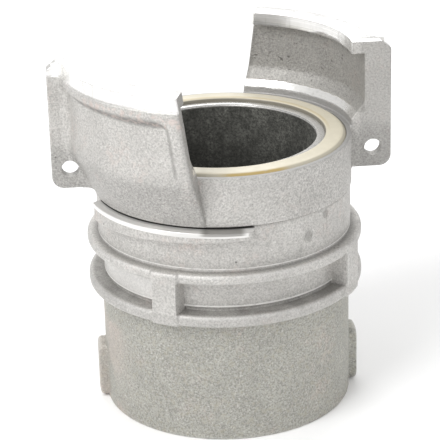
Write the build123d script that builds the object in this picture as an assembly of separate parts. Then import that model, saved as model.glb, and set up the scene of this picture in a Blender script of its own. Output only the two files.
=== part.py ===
"""Symmetrical claw coupling half with a quarter-turn locking ring.

The half is screwed together from a claw head and a female-threaded socket, which trap the
locking ring between them. All sizes are millimetres. +Z is the waterway axis, the origin is the
centre of the socket's bottom face, and the end faces of the claws' ears lie in the plane Y = 0.
Everything has two-fold symmetry about Z, and the ring's wrench bosses four-fold.
"""
import os
from math import cos, radians, sin, sqrt, tan

from build123d import *

# ---- heights above the bottom face ---------------------------------------------------------
SOCKET_H = 52.7            # top face of the socket, which carries the head's journal shoulder
RING_H = 42.7              # locking ring, end to end
COLLAR_H = 21.0            # collar of the head, from the ring to the seal face
CLAW_H = 36.5              # claws, above the seal face
END_PLAY = 0.3             # gap above and below the ring

RING_Z0 = SOCKET_H + END_PLAY
RING_Z1 = RING_Z0 + RING_H
COLLAR_Z0 = RING_Z1 + END_PLAY
FACE_Z = COLLAR_Z0 + COLLAR_H
CLAW_Z1 = FACE_Z + CLAW_H

# ---- waterway and head ---------------------------------------------------------------------
BORE_R = 39.8              # waterway
O_RING_W = 2.4             # section of the O-ring under the head's tail
O_RING_H = 2.0
O_RING_ROUND = 0.6         # bevelled corners of its squeezed section
O_RING_WALL = 1.4          # land on each side of the O-ring's groove
TAIL_R = BORE_R + 2 * O_RING_WALL + O_RING_W    # tail of the head, screwed into the socket
JOURNAL_SHOULDER = 2.0
JOURNAL_R = TAIL_R + JOURNAL_SHOULDER           # journal that the ring turns on

# ---- face seal and the collar that holds it --------------------------------------------------
NOSE_WALL = 3.6            # metal between the waterway and the seal
SEAL_W = 8.9
SEAL_RIM = 2.0             # metal between the seal and the collar's outside
SEAL_IN_R = BORE_R + NOSE_WALL
SEAL_OUT_R = SEAL_IN_R + SEAL_W
COLLAR_R = SEAL_OUT_R + SEAL_RIM
COLLAR_CHAMFER = 0.6
GROOVE_DEPTH = 8.5
NOSE_SET_BACK = 0.7        # inner nose, below the outer edge of the seal face
SEAL_PROUD = 1.1
SEAL_SLOPE = 1.4           # sloping flanks of the seal's crown
SEAL_EDGE_DROP = 0.5       # outer edge of the seal, below the seal face

# ---- claws ---------------------------------------------------------------------------------
CLAW_ROOT_R = (SEAL_OUT_R + COLLAR_R) / 2   # claws grow out of the collar's wall
LIP_GAP = 1.0              # hooked lip, clear of the mating collar
LIP_R = COLLAR_R + LIP_GAP
LIP_H = 5.4
SEAT_GAP = 0.6
SEAT_R = COLLAR_R + SEAT_GAP    # clearance wall round the mating collar
SEAT_H = 2.5
HOOK_R = 60.5              # recess behind the lip
SHOULDER_H = 7.5           # cone from the seat wall out to the recess
CLAW_TOP_R = 65.8          # turned band round the top
TURNED_BAND_H = 5.8
CAST_STEP = 0.5            # cast face stands proud of the turned band
POST_DRAFT = 1.6           # outer face leans in by this much down to the knee
KNEE_H = 1.3               # knee of the outer face, above the seal face
FOOT_PROUD = 0.7
FOOT_R = COLLAR_R + FOOT_PROUD  # foot of the flank, at the collar's lower edge
FOOT_H = 1.2               # upright edge below the flank
CLAW_MID_ANGLE = 73.25     # free end of a claw, at mid height, from its ear
CLAW_LEAN = 8.0            # lean of the free end's face

# ---- pocket in each claw's outer face --------------------------------------------------------
POCKET_DEPTH = 1.5
POCKET_TOP = 12.0          # below the claw's top
POCKET_POST = 6.0          # width of the upright post beside the free end
POCKET_SLOPE = 2.6         # slope under the pocket's top rim
POCKET_FLOOR_DRAFT = 0.5   # pocket's floor, nearer to the outer face at the knee
POCKET_RUN_OUT = 3.0       # below the knee, where the floor runs out into the flank
POCKET_CORNER_R = 5.0      # corner between the post and the top rim

# ---- ear at the root end of each claw --------------------------------------------------------
EAR_R = 72.0
EAR_T = 5.5
EAR_Z0 = 2.2               # bottom of the ear, above the collar's lower edge
EAR_CHAMFER_W = 3.6
EAR_CHAMFER_H = 2.6
EAR_CORNER_R = 5.0
EAR_BLEND_R = 3.0          # blend between the ear and the claw's outer face
EAR_HOLE_R = 3.7
EAR_HOLE_EDGE = 7.8        # hole's centre, from the ear's outer edge
EAR_HOLE_H = 8.6           # hole's centre above the ear's bottom

# ---- locking ring ----------------------------------------------------------------------------
RUN_GAP = 0.3              # radial gap between journal and ring
PIN_R = 1.5
PIN_GAP = 0.3              # clearance at the sides, the ends and the floor of a pin's groove
GROOVE_WALL_IN = 1.3       # ring's wall inside the stop grooves
GROOVE_WALL_OUT = 1.6      # the same outside them
PIN_RING_R = JOURNAL_R + RUN_GAP + GROOVE_WALL_IN + PIN_GAP + PIN_R    # circle of the pins
RING_R = PIN_RING_R + PIN_R + PIN_GAP + GROOVE_WALL_OUT                # upper cylinder
WAIST_SET_IN = 1.9
WAIST_R = RING_R - WAIST_SET_IN                 # band between the ribs
RIB_DEPTH = 6.6
RIB_R = WAIST_R + RIB_DEPTH
RIB_H = 4.4                # upper rib
LOW_RIB_H = 5.0            # lower rib, at the ring's bottom
LOW_RIB_SKIRT = 0.5        # plain edge below the lower rib
RIB_GAP = 13.7             # waist, between the ribs
RIB_ROUND = 1.5            # rounded edges of the ribs and bosses
BOSS_W = 11.0
BOSS_ANGLE = 59.5          # first wrench boss, from the ears' plane
BOSSES = 4

RIM_PROUD = 3.8            # cam rim, proud of the upper cylinder
RIM_R = RING_R + RIM_PROUD
RIM_START = 14.0           # trailing end, from the ears' plane
RIM_ARC = 84.0
RIM_TOP_DROP = 1.1         # outer edge of the rim's top, below the ring's top
RIM_HIGH = 4.4             # rim's bearing face below the ring's top, at the leading end
RIM_LOW = 8.8              # the same at the trailing end
RIM_LAND_H = 2.0           # turned land round the top of the rim
RIM_CAST_SET_IN = 0.35     # cast face below the land
RIM_NOSE_R = 3.2           # rounded leading end
CAMS = 2

# ---- stop pins -------------------------------------------------------------------------------
QUARTER = 90.0             # travel of the ring
PIN_LEN = 11.0
PIN_REACH = 3.4            # below the collar
PIN_ANGLE = 135.0          # first pin, from the ears' plane

# ---- threaded socket -------------------------------------------------------------------------
SOCKET_R = 53.0
THREAD_R = 42.46           # minor radius of a G 3 parallel female thread
THREAD_LEN = 26.5
MOUTH_CHAMFER = 1.8
GASKET_SEAT_DEPTH = 1.84
GASKET_R = THREAD_R + GASKET_SEAT_DEPTH
GASKET_T = 3.0
GASKET_SEAT_H = 3.6        # height of the recess that holds the gasket
TAIL_WEB = 4.4             # wall between the gasket's seat and the head's tail
TAIL_Z = THREAD_LEN + GASKET_SEAT_H + TAIL_WEB
SOCKET_EDGE = 0.6
LUG_PROUD = 3.6
LUG_R = SOCKET_R + LUG_PROUD
LUG_W = 12.0
LUG_H = 25.0
LUG_ROUND = 2.6

# ---- construction ----------------------------------------------------------------------------
CUTTER_OVERRUN = 5.0       # how far cutting solids run past what they cut
CLAW_BLANK_ANGLE = 85.0    # turned blank of a claw, before its free end is cut
ROUND_STEPS = 2            # flats in a quarter round of the ribs


def turned(*points):
    """Solid of revolution about Z of a closed (radius, height) outline."""
    return revolve(Plane.XZ * Polygon(*points, align=None), Axis.Z)


def part_turn(angle, *points):
    """The same outline turned through an angle, from the plane of the ears."""
    return revolve(Plane.XZ * Polygon(*points, align=None), Axis.Z, revolution_arc=angle)


def around(solid, copies):
    """The copies of a solid, spaced evenly about Z."""
    return [Rot(0, 0, 360 / copies * i) * solid for i in range(copies)]


def short_of_free_end(low, high, inset=0.0, corner_r=0.0):
    """Everything between two heights on the claw's side of its leaning free end.

    The end is moved towards the claw by inset, and its upper corner may be rounded. The outline
    lies in the plane square to the radius at the free end, as (tangent, height).
    """
    angle = radians(CLAW_MID_ANGLE)
    lean = radians(CLAW_LEAN)
    mid_z = (COLLAR_Z0 + CLAW_Z1) / 2

    def end_at(height):
        return (-inset / cos(lean) - (height - mid_z) * tan(lean), height)

    reach = -2 * CLAW_TOP_R
    outline = Polygon((reach, low), end_at(low), end_at(high), (reach, high), align=None)
    if corner_r:
        outline = fillet(outline.vertices().sort_by_distance((*end_at(high), 0))[0], corner_r)
    radial = Plane((0, 0, 0), x_dir=(-sin(angle), cos(angle), 0), z_dir=(cos(angle), sin(angle), 0))
    return extrude(radial * outline, 2 * CLAW_TOP_R)


def claw_flank():
    """Outer outline of a claw, from its foot up to its top, as (radius, height) points."""
    knee_z = FACE_Z + KNEE_H
    cast_r = CLAW_TOP_R + CAST_STEP
    return [
        (FOOT_R, COLLAR_Z0),
        (FOOT_R, COLLAR_Z0 + FOOT_H),
        (cast_r - POST_DRAFT, knee_z),
        (cast_r, CLAW_Z1 - TURNED_BAND_H),
        (CLAW_TOP_R, CLAW_Z1 - TURNED_BAND_H),
        (CLAW_TOP_R, CLAW_Z1),
    ]


def pocket():
    """Cutter for the framed pocket in a claw's outer face."""
    low_z = FACE_Z + KNEE_H - POCKET_RUN_OUT
    top_z = CLAW_Z1 - POCKET_TOP
    floor_r = CLAW_TOP_R + CAST_STEP - POST_DRAFT - POCKET_DEPTH + POCKET_FLOOR_DRAFT
    outside = EAR_R + CUTTER_OVERRUN
    blank = part_turn(
        CLAW_BLANK_ANGLE,
        (floor_r, low_z),
        (floor_r, top_z - POCKET_SLOPE),
        (floor_r + POCKET_SLOPE, top_z),
        (outside, top_z),
        (outside, low_z),
    )
    return blank & short_of_free_end(low_z, top_z, POCKET_POST, POCKET_CORNER_R)


def ear():
    """Flat plate at the root end of a claw, its end face in the plane Y = 0."""
    bottom = COLLAR_Z0 + EAR_Z0
    outline = Polygon(
        (CLAW_ROOT_R, bottom),
        (EAR_R, bottom),
        (EAR_R, CLAW_Z1 - EAR_CHAMFER_H),
        (EAR_R - EAR_CHAMFER_W, CLAW_Z1),
        (CLAW_ROOT_R, CLAW_Z1),
        align=None,
    )
    low_corner = outline.vertices().sort_by_distance((EAR_R, bottom, 0))[0]
    outline = fillet(low_corner, EAR_CORNER_R)
    knee_z = FACE_Z + KNEE_H
    flank_x = sqrt(CLAW_TOP_R**2 - (EAR_T + EAR_BLEND_R) ** 2)
    blend = Rectangle(2 * EAR_BLEND_R, EAR_BLEND_R, align=(Align.MAX, Align.MIN)) - Pos(
        0, EAR_BLEND_R
    ) * Circle(EAR_BLEND_R)
    strip = extrude(Pos(flank_x + EAR_BLEND_R, EAR_T) * blend, CLAW_Z1 - knee_z)
    return extrude(Plane.XZ * outline, -EAR_T) + Pos(0, 0, knee_z) * strip


def claw():
    """One claw with its ear, still solid where the mating half goes."""
    outline = [(CLAW_ROOT_R, COLLAR_Z0), *claw_flank(), (CLAW_ROOT_R, CLAW_Z1)]
    body = part_turn(CLAW_BLANK_ANGLE, *outline)
    body &= short_of_free_end(COLLAR_Z0 - CUTTER_OVERRUN, CLAW_Z1 + CUTTER_OVERRUN)
    body -= pocket()
    return body + ear()


def hook_space():
    """Space inside the claws that takes the mating half's collar and cam rim."""
    lip_z = CLAW_Z1 - LIP_H
    top = CLAW_Z1 + CUTTER_OVERRUN
    return turned(
        (0, FACE_Z),
        (SEAT_R, FACE_Z),
        (SEAT_R, FACE_Z + SEAT_H),
        (HOOK_R, FACE_Z + SEAT_H + SHOULDER_H),
        (HOOK_R, lip_z),
        (LIP_R, lip_z),
        (LIP_R, top),
        (0, top),
    )


def claw_head():
    """Cast head: waterway nose, collar, journal, screwed tail and the two claws."""
    nose_z = FACE_Z - NOSE_SET_BACK
    collar = turned(
        (BORE_R, TAIL_Z),
        (TAIL_R, TAIL_Z),
        (TAIL_R, SOCKET_H),
        (JOURNAL_R, SOCKET_H),
        (JOURNAL_R, COLLAR_Z0),
        (COLLAR_R, COLLAR_Z0),
        (COLLAR_R, FACE_Z - COLLAR_CHAMFER),
        (COLLAR_R - COLLAR_CHAMFER, FACE_Z),
        (SEAL_OUT_R, FACE_Z),
        (SEAL_OUT_R, FACE_Z - GROOVE_DEPTH),
        (SEAL_IN_R, FACE_Z - GROOVE_DEPTH),
        (SEAL_IN_R, nose_z),
        (BORE_R, nose_z),
    )
    ear_hole = Plane.XZ * Pos(EAR_R - EAR_HOLE_EDGE, COLLAR_Z0 + EAR_Z0 + EAR_HOLE_H) * Circle(EAR_HOLE_R)
    hole = extrude(ear_hole, EAR_T * 2, both=True)
    one = claw() - hook_space() - hole
    head = collar
    for piece in around(one, CAMS):
        head += piece
    for i in range(CAMS):
        head -= pin_place(i) * Pos(0, 0, COLLAR_Z0) * Cylinder(
            PIN_R, PIN_LEN - PIN_REACH, align=(Align.CENTER, Align.CENTER, Align.MIN)
        )
    return head


def pin_place(index):
    """Place of a stop pin's axis, at height 0."""
    angle = PIN_ANGLE + 360 / CAMS * index
    return Rot(0, 0, angle) * Pos(PIN_RING_R, 0, 0)


def stop_pin(index):
    """Dowel in the collar's underside that runs in the ring's groove."""
    pin = Cylinder(PIN_R, PIN_LEN, align=(Align.CENTER, Align.CENTER, Align.MIN))
    return pin_place(index) * Pos(0, 0, COLLAR_Z0 - PIN_REACH) * pin


def stop_groove():
    """Arc groove in the ring's top face that lets the ring turn a quarter turn against a pin."""
    half_w = PIN_R + PIN_GAP
    floor_z = COLLAR_Z0 - PIN_REACH - PIN_GAP
    top = RING_Z1 + CUTTER_OVERRUN
    groove = part_turn(
        QUARTER,
        (PIN_RING_R - half_w, floor_z),
        (PIN_RING_R + half_w, floor_z),
        (PIN_RING_R + half_w, top),
        (PIN_RING_R - half_w, top),
    )
    for angle in (0, QUARTER):
        groove += Rot(0, 0, angle) * Pos(PIN_RING_R, 0, floor_z) * Cylinder(
            half_w, top - floor_z, align=(Align.CENTER, Align.CENTER, Align.MIN)
        )
    return Rot(0, 0, PIN_ANGLE - QUARTER) * groove


def below_rim():
    """Cutter whose top is the rim's helical bearing face, rising towards the leading end."""
    rise = RIM_LOW - RIM_HIGH
    overrun = CUTTER_OVERRUN                        # degrees past each end of the rim
    arc = RIM_ARC + 2 * overrun
    pitch = rise * 360 / RIM_ARC
    start_z = RING_Z1 - RIM_LOW - rise * overrun / RIM_ARC
    middle_r = (RING_R + RIM_R) / 2
    path = Pos(0, 0, start_z) * Helix(pitch, pitch * arc / 360, middle_r)
    section = Rectangle(3 * (RIM_R - RING_R), RIM_LOW, align=(Align.CENTER, Align.MAX))
    section = Plane.XZ * Pos(middle_r, start_z) * section
    return Rot(0, 0, RIM_START - overrun) * sweep(section, path=path, is_frenet=True)


def rim_plan():
    """Plan of one cam rim, with its leading end rounded, as a tall block."""
    root_r = (PIN_RING_R + RING_R) / 2
    end = radians(RIM_START + RIM_ARC)
    leading = (cos(end) * RIM_R, sin(end) * RIM_R, 0)
    sector = Rot(0, 0, RIM_START) * part_turn(
        RIM_ARC, (root_r, 0), (RIM_R, 0), (RIM_R, RING_Z1), (root_r, RING_Z1)
    )
    uprights = sector.edges().filter_by(Axis.Z)
    return fillet(uprights.sort_by_distance(leading)[0], RIM_NOSE_R)


def cam_rim():
    """One cam rim of the ring: sloped top, turned land, cast face and helical bearing face."""
    root_r = (PIN_RING_R + RING_R) / 2
    land_z = RING_Z1 - RIM_TOP_DROP - RIM_LAND_H
    cast_r = RIM_R - RIM_CAST_SET_IN
    floor_z = RING_Z1 - RIM_LOW - RIM_LAND_H
    rim = Rot(0, 0, RIM_START) * part_turn(
        RIM_ARC,
        (root_r, floor_z),
        (cast_r, floor_z),
        (cast_r, land_z),
        (RIM_R, land_z),
        (RIM_R, RING_Z1 - RIM_TOP_DROP),
        (RING_R, RING_Z1),
        (root_r, RING_Z1),
    )
    return (rim & rim_plan()) - below_rim()


def rounded_rib(low, high):
    """Outline of a rib with rounded edges, from its lower side to its upper side."""
    points = []
    for start, height in ((-90, low + RIB_ROUND), (0, high - RIB_ROUND)):
        for step in range(ROUND_STEPS + 1):
            angle = radians(start + 90 * step / ROUND_STEPS)
            points.append((RIB_R - RIB_ROUND + RIB_ROUND * cos(angle), height + RIB_ROUND * sin(angle)))
    return points


def locking_ring():
    """Cast ring with two wrench ribs, bridging bosses and two helical cam rims."""
    bore_r = JOURNAL_R + RUN_GAP
    low_z = RING_Z0 + LOW_RIB_SKIRT
    waist_z0 = low_z + LOW_RIB_H
    waist_z1 = waist_z0 + RIB_GAP
    rib_z1 = waist_z1 + RIB_H
    ring = turned(
        (bore_r, RING_Z0),
        (WAIST_R, RING_Z0),
        (WAIST_R, low_z),
        *rounded_rib(low_z, waist_z0),
        (WAIST_R, waist_z0),
        (WAIST_R, waist_z1),
        *rounded_rib(waist_z1, rib_z1),
        (RING_R, rib_z1),
        (RING_R, RING_Z1),
        (bore_r, RING_Z1),
    )
    root_r = (bore_r + WAIST_R) / 2
    envelope = turned((root_r, low_z), *rounded_rib(low_z, rib_z1), (root_r, rib_z1))
    boss = envelope & Box(RIB_R, BOSS_W, RING_Z1, align=(Align.MIN, Align.CENTER, Align.MIN))
    for piece in around(Rot(0, 0, BOSS_ANGLE) * boss, BOSSES):
        ring += piece
    for piece in around(cam_rim(), CAMS):
        ring += piece
    for groove in around(stop_groove(), CAMS):
        ring -= groove
    return ring


def face_seal():
    """Moulded seal ring whose crown stands proud of the seal face."""
    crown_z = FACE_Z + SEAL_PROUD
    floor_z = FACE_Z - GROOVE_DEPTH
    return turned(
        (SEAL_IN_R, floor_z),
        (SEAL_OUT_R, floor_z),
        (SEAL_OUT_R, FACE_Z - SEAL_EDGE_DROP),
        (SEAL_OUT_R - SEAL_SLOPE, crown_z),
        (SEAL_IN_R + SEAL_SLOPE / 2, crown_z),
        (SEAL_IN_R, crown_z - SEAL_SLOPE / 2),
    )


def o_ring_groove():
    """Inner and outer radius of the groove for the joint's O-ring."""
    inner = BORE_R + O_RING_WALL
    return inner, inner + O_RING_W


def threaded_socket():
    """Socket with a female pipe thread, a gasket seat and two wrench lugs."""
    seat_z = THREAD_LEN + GASKET_SEAT_H
    groove_in, groove_out = o_ring_groove()
    groove_z = TAIL_Z - O_RING_H
    barrel = turned(
        (THREAD_R + MOUTH_CHAMFER, 0),
        (SOCKET_R - SOCKET_EDGE, 0),
        (SOCKET_R, SOCKET_EDGE),
        (SOCKET_R, SOCKET_H - SOCKET_EDGE),
        (SOCKET_R - SOCKET_EDGE, SOCKET_H),
        (TAIL_R, SOCKET_H),
        (TAIL_R, TAIL_Z),
        (groove_out, TAIL_Z),
        (groove_out, groove_z),
        (groove_in, groove_z),
        (groove_in, TAIL_Z),
        (BORE_R, TAIL_Z),
        (BORE_R, seat_z),
        (GASKET_R, seat_z),
        (GASKET_R, THREAD_LEN),
        (THREAD_R, THREAD_LEN),
        (THREAD_R, MOUTH_CHAMFER),
    )
    outline = RectangleRounded(LUG_W, LUG_H, LUG_ROUND)
    blank = extrude(Plane.YZ * Pos(0, LUG_H / 2) * outline, LUG_R)
    wall_r = (THREAD_R + SOCKET_R) / 2
    lug = blank & turned((wall_r, 0), (LUG_R, 0), (LUG_R, LUG_H), (wall_r, LUG_H))
    for piece in around(lug, CAMS):
        barrel += piece
    return barrel


def joint_o_ring():
    """O-ring between the head's tail and the socket, as squeezed in its groove."""
    inner, outer = o_ring_groove()
    low = TAIL_Z - O_RING_H
    return turned(
        (inner + O_RING_ROUND, low),
        (outer - O_RING_ROUND, low),
        (outer, low + O_RING_ROUND),
        (outer, TAIL_Z - O_RING_ROUND),
        (outer - O_RING_ROUND, TAIL_Z),
        (inner + O_RING_ROUND, TAIL_Z),
        (inner, TAIL_Z - O_RING_ROUND),
        (inner, low + O_RING_ROUND),
    )


def thread_gasket():
    """Flat gasket at the bottom of the female thread."""
    top = THREAD_LEN + GASKET_SEAT_H
    return turned(
        (BORE_R, top - GASKET_T), (GASKET_R, top - GASKET_T), (GASKET_R, top), (BORE_R, top)
    )


PARTS = {
    "claw_head": claw_head,
    "locking_ring": locking_ring,
    "threaded_socket": threaded_socket,
    "face_seal": face_seal,
    "joint_o_ring": joint_o_ring,
    "thread_gasket": thread_gasket,
    "stop_pin_1": lambda: stop_pin(0),
    "stop_pin_2": lambda: stop_pin(1),
}

os.makedirs("parts", exist_ok=True)
for name, make in PARTS.items():
    export_step(make(), f"parts/{name}.step")
    print(name)
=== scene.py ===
import functools
import math

import bmesh
import bpy
import numpy as np
from bpy.props import FloatProperty, FloatVectorProperty, PointerProperty
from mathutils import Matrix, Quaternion, Vector


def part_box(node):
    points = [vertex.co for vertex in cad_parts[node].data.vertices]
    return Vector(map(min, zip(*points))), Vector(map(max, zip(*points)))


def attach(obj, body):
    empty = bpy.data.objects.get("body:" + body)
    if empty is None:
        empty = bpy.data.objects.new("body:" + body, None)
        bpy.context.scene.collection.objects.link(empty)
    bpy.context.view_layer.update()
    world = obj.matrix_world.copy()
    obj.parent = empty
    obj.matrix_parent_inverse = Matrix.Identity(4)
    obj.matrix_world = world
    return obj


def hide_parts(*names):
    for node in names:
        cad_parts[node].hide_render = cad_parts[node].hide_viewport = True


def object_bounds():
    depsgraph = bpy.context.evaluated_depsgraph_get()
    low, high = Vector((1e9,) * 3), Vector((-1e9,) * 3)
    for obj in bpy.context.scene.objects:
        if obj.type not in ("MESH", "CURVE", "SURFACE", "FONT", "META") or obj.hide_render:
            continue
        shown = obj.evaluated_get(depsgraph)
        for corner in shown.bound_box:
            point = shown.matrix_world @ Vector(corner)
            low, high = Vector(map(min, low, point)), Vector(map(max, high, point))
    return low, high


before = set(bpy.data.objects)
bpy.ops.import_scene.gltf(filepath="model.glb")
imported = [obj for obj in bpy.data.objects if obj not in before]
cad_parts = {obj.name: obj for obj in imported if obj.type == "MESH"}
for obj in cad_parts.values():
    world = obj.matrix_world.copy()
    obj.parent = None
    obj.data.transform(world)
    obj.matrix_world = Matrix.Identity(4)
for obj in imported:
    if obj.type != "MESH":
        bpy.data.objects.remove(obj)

bl_info = {
    "name": "Quarter-turn coupling dresser",
    "version": (1, 0, 0),
    "blender": (4, 5, 0),
    "location": "View3D > Sidebar > Coupling",
    "description": "Finishes of a claw coupling half: cast head, locking ring, socket and seals",
    "category": "Object",
}

MM = 0.001
CAD_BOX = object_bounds()
HEAD_LOW, HEAD_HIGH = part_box("claw_head")
RING_LOW, RING_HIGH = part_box("locking_ring")
SOCKET_LOW, SOCKET_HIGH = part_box("threaded_socket")
SEAL_LOW, SEAL_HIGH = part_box("face_seal")
O_RING_LOW, O_RING_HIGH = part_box("joint_o_ring")
GASKET_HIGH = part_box("thread_gasket")[1]
PIN_LOW, PIN_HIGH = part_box("stop_pin_1")

SEAL_IN_R = 43.4 * MM
SEAL_PROUD = 1.1 * MM
END_PLAY = 0.3 * MM
FACE_Z = SEAL_HIGH.z - SEAL_PROUD        # seal face of the head
COLLAR_Z = RING_HIGH.z + END_PLAY        # lower edge of the head's collar
CLAW_TOP_Z = HEAD_HIGH.z
CLAW_MIDDLE_Z = (COLLAR_Z + CLAW_TOP_Z) / 2
CRISP = 0.15 * MM                        # rounding of an edge that a tool has cut
AROUND = 300                             # stations round a turned piece
MID_CLAW = 60 * MM                       # a distance from the free end, past any post
FLOOR_GAP = 0.02 * MM                    # the floor lies this far below the piece
CAMERA_SHIFT = (-0.0093, -0.0036)
# A rounded edge, point by point: how far from the face it starts, and how far it is drawn in.
ROUNDING = ((0.0, 1.0), (0.08, 0.6), (0.3, 0.28), (0.6, 0.08), (1.0, 0.0))


# ---- settings ------------------------------------------------------------------------------

def length(name, description, default):
    """A length setting in metres, given in millimetres."""
    return FloatProperty(name=name, description=description, default=default * MM,
                         min=0.0, unit="LENGTH", precision=4)


def colour(name, description, default):
    """A linear colour setting."""
    return FloatVectorProperty(name=name, description=description, default=default,
                               size=3, min=0.0, max=1.0, subtype="COLOR")


def turn(name, description, default):
    """An angle setting, given in degrees."""
    return FloatProperty(name=name, description=description,
                         default=math.radians(default), unit="ROTATION")


class RingSettings(bpy.types.PropertyGroup):
    """Sizes of the locking ring that its box doesn't give."""
    bore_r: length("Bore", "Radius that runs on the journal", 47.3)
    barrel_r: length("Barrel", "Radius of the upper cylinder", 53.8)
    waist_r: length("Waist", "Radius of the band between the ribs", 51.9)
    skirt_h: length("Skirt", "Plain edge below the lower rib", 0.5)
    low_rib_h: length("Lower rib", "Height of the lower rib", 5.0)
    rib_gap: length("Waist height", "Height between the ribs", 13.7)
    rib_h: length("Upper rib", "Height of the upper rib", 4.4)
    rib_round: length("Rib rounding", "Rounding of the ribs' edges", 1.8)
    boss_w: length("Boss width", "Width of a wrench boss", 11.0)
    boss_proud: length("Boss, proud", "How far a boss stands out of the ribs", 0.9)
    slot_h: length("Slot", "Height of the slot above the lower rib", 1.5)
    slot_in: length("Slot depth", "Depth of that slot in the waist", 0.6)
    boss_angle: turn("Boss angle", "First boss, from the ears' plane", 59.5)
    rim_r: length("Cam rim", "Radius of the cam rims", 57.6)
    rim_start: turn("Rim start", "Trailing end of the first rim", 14.0)
    rim_arc: turn("Rim arc", "Arc that a rim spans", 84.0)
    rim_drop: length("Rim drop", "Outer edge of the rim's top, below the ring's top", 1.1)
    rim_high: length("Rim, leading", "Bearing face at the leading end, below the top", 4.4)
    rim_low: length("Rim, trailing", "Bearing face at the trailing end, below the top", 8.8)
    land_h: length("Turned land", "Turned land round the rim's top", 2.0)
    cast_set_in: length("Cast set-in", "Cast face, inside the turned land", 0.35)
    nose: length("Nose", "Run-out at the rim's leading end", 5.0)
    pin_ring_r: length("Pin circle", "Radius of the stop grooves", 50.4)
    groove_half_w: length("Groove", "Half width of a stop groove", 1.8)
    groove_depth: length("Groove depth", "Depth of a stop groove", 3.4)


class SocketSettings(bpy.types.PropertyGroup):
    """Sizes of the threaded socket that its box doesn't give."""
    barrel_r: length("Barrel", "Outer radius", 53.0)
    tail_r: length("Tail bore", "Radius of the hole for the head's tail", 45.0)
    edge: length("Edge", "Chamfer of the outer edges", 0.8)
    lug_w: length("Lug width", "Width of a wrench lug", 12.0)
    lug_h: length("Lug height", "Height of a wrench lug", 25.0)
    lug_round: length("Lug rounding", "Rounding of a lug's corners", 2.6)
    thread_r: length("Thread", "Minor radius of the female thread", 42.46)
    thread_depth: length("Thread depth", "Depth of the thread", 1.479)
    thread_pitch: length("Pitch", "Pitch of the thread", 2.309)
    thread_len: length("Thread length", "Depth of the threaded mouth", 26.5)
    mouth: length("Mouth chamfer", "Chamfer at the thread's mouth", 1.8)


class HeadSettings(bpy.types.PropertyGroup):
    """Sizes of the claw head that its box doesn't give."""
    tail_r: length("Tail", "Radius of the screwed tail", 45.0)
    journal_r: length("Journal", "Radius of the journal", 47.0)
    collar_r: length("Collar", "Radius of the collar", 54.3)
    seal_in_r: length("Seal, inner", "Inner radius of the seal's groove", SEAL_IN_R / MM)
    nose_drop: length("Nose drop", "Inner nose, below the seal face", 0.7)
    edge: length("Edge rounding", "Rounding of the claws' end edges", 0.7)
    root_r: length("Root", "Radius inside the collar's wall", 53.3)
    lip_r: length("Lip", "Inside of the hooked lip", 55.3)
    lip_h: length("Lip height", "Height of the lip", 5.4)
    recess_r: length("Recess", "Radius behind the lip", 60.5)
    seat_r: length("Seat", "Wall round the mating collar", 54.9)
    seat_h: length("Seat height", "Height of that wall", 2.5)
    shoulder_h: length("Shoulder", "Height of the cone out to the recess", 7.5)
    foot_r: length("Foot", "Foot of the outer flank", 55.0)
    foot_h: length("Foot height", "Upright edge below the flank", 1.2)
    knee_r: length("Knee", "Radius of the outer face's knee", 64.7)
    knee_h: length("Knee height", "Knee above the seal face", 1.3)
    wall_r: length("Wall", "Cast outer face below the turned band", 66.3)
    band_r: length("Turned band", "Radius of the turned band", 65.8)
    band_h: length("Band height", "Height of the turned band", 5.8)
    floor_r: length("Pocket floor", "Radius of the pocket's floor", 63.5)
    pocket_top: length("Pocket top", "Pocket, below the claw's top", 8.8)
    pocket_slope: length("Pocket slope", "Width of the slope below the pocket's top", 5.6)
    post_slope: length("Post slope", "Width of the slope beside the post", 2.8)
    pocket_corner: length("Pocket corner", "Rounding of the pocket's corner", 6.0)
    post_w: length("Post", "Width of the post beside the free end", 5.0)
    claw_angle: turn("Claw", "Free end, from the ear, at mid height", 73.25)
    lean: turn("Lean", "Lean of the free end", 8.0)
    ear_t: length("Ear", "Thickness of an ear", 5.5)
    ear_z0: length("Ear bottom", "Ear's bottom above the collar's edge", 2.2)
    ear_corner: length("Ear corner", "Rounding of the ear's lower corner", 5.0)
    ear_blend: length("Ear blend", "Blend from the ear to the outer face", 5.0)
    chamfer_w: length("Chamfer width", "Chamfer at the ear's top", 4.2)
    chamfer_h: length("Chamfer height", "Chamfer at the ear's top", 3.4)
    hole_r: length("Hole", "Radius of the ear's hole", 3.7)
    hole_edge: length("Hole edge", "Hole's centre from the ear's outer edge", 7.8)
    hole_h: length("Hole height", "Hole's centre above the ear's bottom", 8.6)


class FinishSettings(bpy.types.PropertyGroup):
    """Colours of the finishes."""
    cast: colour("Cast", "Blasted casting of the head", (0.635, 0.62, 0.595))
    # cast_dark also colours the painted shade in the recess, the seams, the slot and the ribs'
    # ledges
    cast_dark: colour("Cast, dark", "Smudges and pits of the castings", (0.30, 0.29, 0.265))
    rose: colour("Cast, rosy", "Warm tint of the castings", (0.68, 0.56, 0.51))
    ring: colour("Ring", "Blasted casting of the ring", (0.635, 0.62, 0.595))
    socket: colour("Socket", "Sandy casting of the socket", (0.485, 0.48, 0.44))
    # turned also colours the painted highlights, the painted light on the ring's waist and the
    # painted glints
    turned: colour("Turned", "Fresh turned faces", (0.93, 0.92, 0.90))
    bore: colour("Bore", "Rough dark waterway", (0.22, 0.22, 0.20))
    seal: colour("Seal", "Cream moulded seal", (0.68, 0.63, 0.50))
    seal_tan: colour("Seal, tan", "Tan stains of the seal", (0.40, 0.27, 0.06))
    rubber: colour("Rubber", "Black rubber of the hidden seals", (0.018, 0.018, 0.02))
    steel: colour("Steel", "Ground steel of the stop pins", (0.50, 0.50, 0.51))
    floor: colour("Floor", "Pale floor", (0.97, 0.97, 0.97))


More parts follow.
